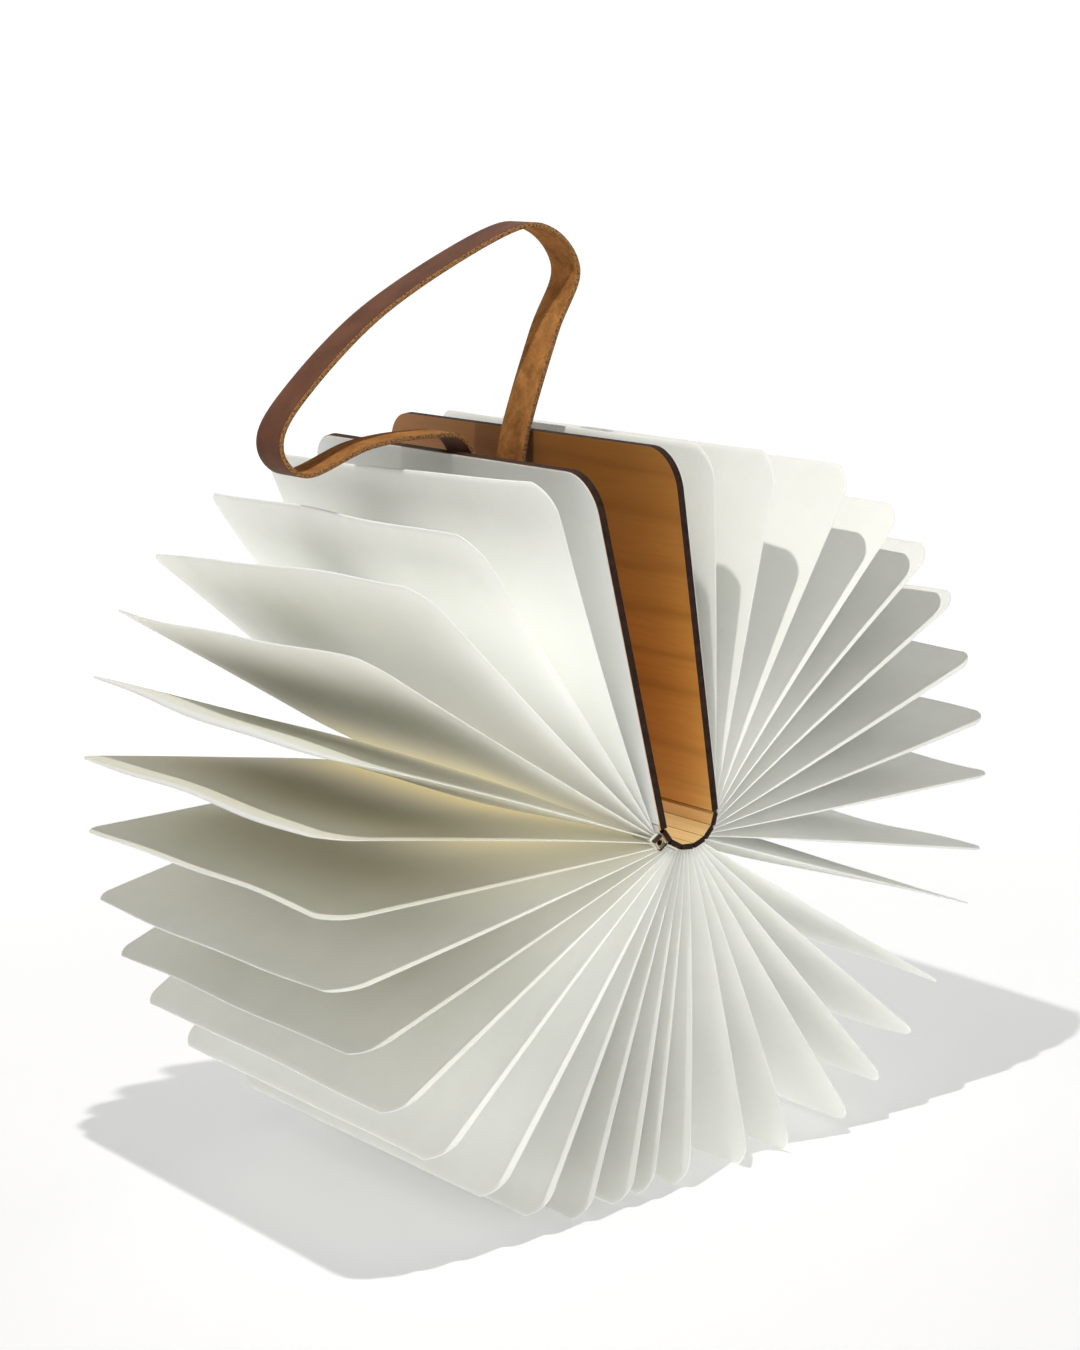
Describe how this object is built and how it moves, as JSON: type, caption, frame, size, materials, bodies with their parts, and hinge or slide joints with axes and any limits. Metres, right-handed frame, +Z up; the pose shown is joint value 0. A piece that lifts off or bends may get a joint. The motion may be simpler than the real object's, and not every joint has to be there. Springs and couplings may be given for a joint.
{
  "type": "folding book lamp",
  "caption": "Book-shaped lamp opened full circle: two wooden covers stand back to back, slatted spine, fan of hollow paper leaves, leather carrying strap.",
  "frame": {"origin": "on the surface that the lamp stands on, under the middle of the fan of leaves", "axes": "+Z up; the spine runs along Y, with the charging socket at its -Y end; the covers stand above the spine, and +X runs from the left cover to the right cover"},
  "size_m": [0.3456, 0.22, 0.4033],
  "materials": {
    "wood": "bare laser-cut wood with a visible grain, its cut edges burnt dark brown",
    "paper": "matte off-white tear-proof paper that lets warm light through",
    "cloth": "matte white bookbinding cloth",
    "led_board": "white board with warm white LEDs",
    "housing": "thin wood, its cut edges burnt dark brown",
    "socket": "matte beige plastic",
    "battery": "satin foil",
    "magnet": "polished nickel plate",
    "strap": "smooth reddish-brown leather outside, tan suede inside",
    "peg": "matte dark brown"
  },
  "bodies": {
    "slat_3": {"slat_3": "wood", "leaf_roots_3": "paper", "battery": "battery", "spine_cloth": "cloth"},
    "slat_4": {"slat_4": "wood", "leaf_roots_4": "paper"},
    "slat_5": {"slat_5": "wood", "leaf_roots_5": "paper", "led_board_right": "led_board"},
    "slat_6": {"slat_6": "wood", "leaf_roots_6": "paper"},
    "slat_2": {"slat_2": "wood", "leaf_roots_2": "paper", "led_board_left": "led_board"},
    "slat_1": {"slat_1": "wood", "leaf_roots_1": "paper", "port_housing": "housing", "charging_socket": "socket"},
    "cover_left": {"cover_left": "wood", "end_leaf_left": "paper", "cover_magnet_left": "magnet"},
    "cover_right": {"cover_right": "wood", "end_leaf_right": "paper", "cover_magnet_right": "magnet"},
    "strap": {"strap": "strap", "strap_pegs": "peg"},
    "leaf_01": {"leaf_01": "paper"},
    "leaf_02": {"leaf_02": "paper"},
    "leaf_03": {"leaf_03": "paper"},
    "leaf_04": {"leaf_04": "paper"},
    "leaf_05": {"leaf_05": "paper"},
    "leaf_06": {"leaf_06": "paper"},
    "leaf_07": {"leaf_07": "paper"},
    "leaf_08": {"leaf_08": "paper"},
    "leaf_09": {"leaf_09": "paper"},
    "leaf_10": {"leaf_10": "paper"},
    "leaf_11": {"leaf_11": "paper"},
    "leaf_12": {"leaf_12": "paper"},
    "leaf_13": {"leaf_13": "paper"},
    "leaf_14": {"leaf_14": "paper"},
    "leaf_15": {"leaf_15": "paper"},
    "leaf_16": {"leaf_16": "paper"},
    "leaf_17": {"leaf_17": "paper"},
    "leaf_18": {"leaf_18": "paper"},
    "leaf_19": {"leaf_19": "paper"},
    "leaf_20": {"leaf_20": "paper"},
    "leaf_21": {"leaf_21": "paper"},
    "leaf_22": {"leaf_22": "paper"},
    "leaf_23": {"leaf_23": "paper"},
    "leaf_24": {"leaf_24": "paper"},
    "leaf_25": {"leaf_25": "paper"},
    "leaf_26": {"leaf_26": "paper"},
    "leaf_27": {"leaf_27": "paper"},
    "leaf_28": {"leaf_28": "paper"},
    "leaf_29": {"leaf_29": "paper"},
    "leaf_30": {"leaf_30": "paper"},
    "leaf_31": {"leaf_31": "paper"},
    "leaf_32": {"leaf_32": "paper"},
    "leaf_33": {"leaf_33": "paper"},
    "leaf_34": {"leaf_34": "paper"}
  },
  "joints": [
    {"name": "fold", "type": "hinge", "parent": "slat_3", "child": "slat_4", "pos_m": [0.00069, 0, 0.14816], "axis": [0, 1, 0], "range_deg": [0, 51.43], "deforming": ["spine_cloth"]},
    {"name": "slat_5_hinge", "type": "hinge", "parent": "slat_4", "child": "slat_5", "pos_m": [0.00717, 0, 0.15022], "axis": [0, 1, 0], "range_deg": [0, 51.44]},
    {"name": "slat_6_hinge", "type": "hinge", "parent": "slat_5", "child": "slat_6", "pos_m": [0.01212, 0, 0.1549], "axis": [0, 1, 0], "range_deg": [0, 51.44]},
    {"name": "cover_right_hinge", "type": "hinge", "parent": "slat_6", "child": "cover_right", "pos_m": [0.01454, 0, 0.16125], "axis": [0, 1, 0], "range_deg": [0, 48.74]},
    {"name": "slat_2_hinge", "type": "hinge", "parent": "slat_3", "child": "slat_2", "pos_m": [-0.00604, 0, 0.14911], "axis": [0, 1, 0], "range_deg": [-51.44, 0]},
    {"name": "slat_1_hinge", "type": "hinge", "parent": "slat_2", "child": "slat_1", "pos_m": [-0.01169, 0, 0.1529], "axis": [0, 1, 0], "range_deg": [-51.44, 0]},
    {"name": "cover_left_hinge", "type": "hinge", "parent": "slat_1", "child": "cover_left", "pos_m": [-0.01515, 0, 0.15875], "axis": [0, 1, 0], "range_deg": [-48.74, 0]},
    {"name": "leaf_01_crease", "type": "hinge", "parent": "cover_left", "child": "leaf_01", "pos_m": [-0.0171, 0, 0.16708], "axis": [0, 1, 0], "range_deg": [0, 10.98]},
    {"name": "leaf_02_crease", "type": "hinge", "parent": "cover_left", "child": "leaf_02", "pos_m": [-0.01788, 0, 0.16649], "axis": [0, 1, 0], "range_deg": [0, 22.16]},
    {"name": "leaf_03_crease", "type": "hinge", "parent": "slat_1", "child": "leaf_03", "pos_m": [-0.02284, 0, 0.16082], "axis": [0, 1, 0], "range_deg": [-15.21, 0]},
    {"name": "leaf_04_crease", "type": "hinge", "parent": "slat_1", "child": "leaf_04", "pos_m": [-0.0229, 0, 0.15985], "axis": [0, 1, 0], "range_deg": [-3.66, 0]},
    {"name": "leaf_05_crease", "type": "hinge", "parent": "slat_1", "child": "leaf_05", "pos_m": [-0.02297, 0, 0.15887], "axis": [0, 1, 0], "range_deg": [0, 7.98]},
    {"name": "leaf_06_crease", "type": "hinge", "parent": "slat_1", "child": "leaf_06", "pos_m": [-0.02304, 0, 0.15789], "axis": [0, 1, 0], "range_deg": [0, 19.58]},
    {"name": "leaf_07_crease", "type": "hinge", "parent": "slat_2", "child": "leaf_07", "pos_m": [-0.02195, 0, 0.14647], "axis": [0, 1, 0], "range_deg": [-20.4, 0]},
    {"name": "leaf_08_crease", "type": "hinge", "parent": "slat_2", "child": "leaf_08", "pos_m": [-0.02123, 0, 0.14581], "axis": [0, 1, 0], "range_deg": [-9.19, 0]},
    {"name": "leaf_09_crease", "type": "hinge", "parent": "slat_2", "child": "leaf_09", "pos_m": [-0.02051, 0, 0.14514], "axis": [0, 1, 0], "range_deg": [0, 1.68]},
    {"name": "leaf_10_crease", "type": "hinge", "parent": "slat_2", "child": "leaf_10", "pos_m": [-0.01979, 0, 0.14448], "axis": [0, 1, 0], "range_deg": [0, 12.07]},
    {"name": "leaf_11_crease", "type": "hinge", "parent": "slat_2", "child": "leaf_11", "pos_m": [-0.01907, 0, 0.14382], "axis": [0, 1, 0], "range_deg": [0, 21.96]},
    {"name": "leaf_12_crease", "type": "hinge", "parent": "slat_3", "child": "leaf_12", "pos_m": [-0.00905, 0, 0.13577], "axis": [0, 1, 0], "range_deg": [-20.11, 0]},
    {"name": "leaf_13_crease", "type": "hinge", "parent": "slat_3", "child": "leaf_13", "pos_m": [-0.00809, 0, 0.13592], "axis": [0, 1, 0], "range_deg": [-11.2, 0]},
    {"name": "leaf_14_crease", "type": "hinge", "parent": "slat_3", "child": "leaf_14", "pos_m": [-0.00712, 0, 0.13607], "axis": [0, 1, 0], "range_deg": [-2.69, 0]},
    {"name": "leaf_15_crease", "type": "hinge", "parent": "slat_3", "child": "leaf_15", "pos_m": [-0.00615, 0, 0.13622], "axis": [0, 1, 0], "range_deg": [0, 5.54]},
    {"name": "leaf_16_crease", "type": "hinge", "parent": "slat_3", "child": "leaf_16", "pos_m": [-0.00518, 0, 0.13637], "axis": [0, 1, 0], "range_deg": [0, 13.61]},
    {"name": "leaf_17_crease", "type": "hinge", "parent": "slat_3", "child": "leaf_17", "pos_m": [-0.00421, 0, 0.13652], "axis": [0, 1, 0], "range_deg": [0, 21.66]},
    {"name": "leaf_18_crease", "type": "hinge", "parent": "slat_4", "child": "leaf_18", "pos_m": [0.00747, 0, 0.1375], "axis": [0, 1, 0], "range_deg": [-21.61, 0]},
    {"name": "leaf_19_crease", "type": "hinge", "parent": "slat_4", "child": "leaf_19", "pos_m": [0.00845, 0, 0.13752], "axis": [0, 1, 0], "range_deg": [-13.18, 0]},
    {"name": "leaf_20_crease", "type": "hinge", "parent": "slat_4", "child": "leaf_20", "pos_m": [0.00943, 0, 0.13753], "axis": [0, 1, 0], "range_deg": [-4.41, 0]},
    {"name": "leaf_21_crease", "type": "hinge", "parent": "slat_4", "child": "leaf_21", "pos_m": [0.01041, 0, 0.13755], "axis": [0, 1, 0], "range_deg": [0, 4.77]},
    {"name": "leaf_22_crease", "type": "hinge", "parent": "slat_4", "child": "leaf_22", "pos_m": [0.01139, 0, 0.13756], "axis": [0, 1, 0], "range_deg": [0, 14.34]},
    {"name": "leaf_23_crease", "type": "hinge", "parent": "slat_4", "child": "leaf_23", "pos_m": [0.01237, 0, 0.13757], "axis": [0, 1, 0], "range_deg": [0, 24.29]},
    {"name": "leaf_24_crease", "type": "hinge", "parent": "slat_5", "child": "leaf_24", "pos_m": [0.0209, 0, 0.14717], "axis": [0, 1, 0], "range_deg": [-16.89, 0]},
    {"name": "leaf_25_crease", "type": "hinge", "parent": "slat_5", "child": "leaf_25", "pos_m": [0.0215, 0, 0.14795], "axis": [0, 1, 0], "range_deg": [-6.37, 0]},
    {"name": "leaf_26_crease", "type": "hinge", "parent": "slat_5", "child": "leaf_26", "pos_m": [0.0221, 0, 0.14872], "axis": [0, 1, 0], "range_deg": [0, 4.33]},
    {"name": "leaf_27_crease", "type": "hinge", "parent": "slat_5", "child": "leaf_27", "pos_m": [0.0227, 0, 0.1495], "axis": [0, 1, 0], "range_deg": [0, 15.08]},
    {"name": "leaf_28_crease", "type": "hinge", "parent": "slat_5", "child": "leaf_28", "pos_m": [0.0233, 0, 0.15027], "axis": [0, 1, 0], "range_deg": [0, 25.83]},
    {"name": "leaf_29_crease", "type": "hinge", "parent": "slat_6", "child": "leaf_29", "pos_m": [0.02247, 0, 0.16171], "axis": [0, 1, 0], "range_deg": [-14.93, 0]},
    {"name": "leaf_30_crease", "type": "hinge", "parent": "slat_6", "child": "leaf_30", "pos_m": [0.02224, 0, 0.16267], "axis": [0, 1, 0], "range_deg": [-4.31, 0]},
    {"name": "leaf_31_crease", "type": "hinge", "parent": "slat_6", "child": "leaf_31", "pos_m": [0.02201, 0, 0.16362], "axis": [0, 1, 0], "range_deg": [0, 6.26]},
    {"name": "leaf_32_crease", "type": "hinge", "parent": "slat_6", "child": "leaf_32", "pos_m": [0.02178, 0, 0.16457], "axis": [0, 1, 0], "range_deg": [0, 16.78]},
    {"name": "leaf_33_crease", "type": "hinge", "parent": "cover_right", "child": "leaf_33", "pos_m": [0.01595, 0, 0.16933], "axis": [0, 1, 0], "range_deg": [-21.42, 0]},
    {"name": "leaf_34_crease", "type": "hinge", "parent": "cover_right", "child": "leaf_34", "pos_m": [0.01508, 0, 0.16979], "axis": [0, 1, 0], "range_deg": [-10.79, 0]},
    {"name": "strap_lift", "type": "slide", "parent": "cover_right", "child": "strap", "axis": [-0.0366, 0, 0.9993], "range_m": [0, 0.08]}
  ],
  "couplings": [
    {"joint": "slat_5_hinge", "follows": "fold", "ratio": 1},
    {"joint": "slat_6_hinge", "follows": "fold", "ratio": 1},
    {"joint": "cover_right_hinge", "follows": "fold", "ratio": 0.9475},
    {"joint": "slat_2_hinge", "follows": "fold", "ratio": -1},
    {"joint": "slat_1_hinge", "follows": "fold", "ratio": -1},
    {"joint": "cover_left_hinge", "follows": "fold", "ratio": -0.9475},
    {"joint": "leaf_01_crease", "follows": "fold", "ratio": 0.21328},
    {"joint": "leaf_02_crease", "follows": "fold", "ratio": 0.4307},
    {"joint": "leaf_03_crease", "follows": "fold", "ratio": -0.29546},
    {"joint": "leaf_04_crease", "follows": "fold", "ratio": -0.071055},
    {"joint": "leaf_05_crease", "follows": "fold", "ratio": 0.15495},
    {"joint": "leaf_06_crease", "follows": "fold", "ratio": 0.38057},
    {"joint": "leaf_07_crease", "follows": "fold", "ratio": -0.39647},
    {"joint": "leaf_08_crease", "follows": "fold", "ratio": -0.1785},
    {"joint": "leaf_09_crease", "follows": "fold", "ratio": 0.032365},
    {"joint": "leaf_10_crease", "follows": "fold", "ratio": 0.23446},
    {"joint": "leaf_11_crease", "follows": "fold", "ratio": 0.42681},
    {"joint": "leaf_12_crease", "follows": "fold", "ratio": -0.39077},
    {"joint": "leaf_13_crease", "follows": "fold", "ratio": -0.2176},
    {"joint": "leaf_14_crease", "follows": "fold", "ratio": -0.05219},
    {"joint": "leaf_15_crease", "follows": "fold", "ratio": 0.1076},
    {"joint": "leaf_16_crease", "follows": "fold", "ratio": 0.26438},
    {"joint": "leaf_17_crease", "follows": "fold", "ratio": 0.42094},
    {"joint": "leaf_18_crease", "follows": "fold", "ratio": -0.42001},
    {"joint": "leaf_19_crease", "follows": "fold", "ratio": -0.25612},
    {"joint": "leaf_20_crease", "follows": "fold", "ratio": -0.085637},
    {"joint": "leaf_21_crease", "follows": "fold", "ratio": 0.092497},
    {"joint": "leaf_22_crease", "follows": "fold", "ratio": 0.27854},
    {"joint": "leaf_23_crease", "follows": "fold", "ratio": 0.47203},
    {"joint": "leaf_24_crease", "follows": "fold", "ratio": -0.32817},
    {"joint": "leaf_25_crease", "follows": "fold", "ratio": -0.12357},
    {"joint": "leaf_26_crease", "follows": "fold", "ratio": 0.084066},
    {"joint": "leaf_27_crease", "follows": "fold", "ratio": 0.29306},
    {"joint": "leaf_28_crease", "follows": "fold", "ratio": 0.502},
    {"joint": "leaf_29_crease", "follows": "fold", "ratio": -0.2901},
    {"joint": "leaf_30_crease", "follows": "fold", "ratio": -0.083633},
    {"joint": "leaf_31_crease", "follows": "fold", "ratio": 0.12156},
    {"joint": "leaf_32_crease", "follows": "fold", "ratio": 0.32616},
    {"joint": "leaf_33_crease", "follows": "fold", "ratio": -0.41629},
    {"joint": "leaf_34_crease", "follows": "fold", "ratio": -0.20957}
  ]
}
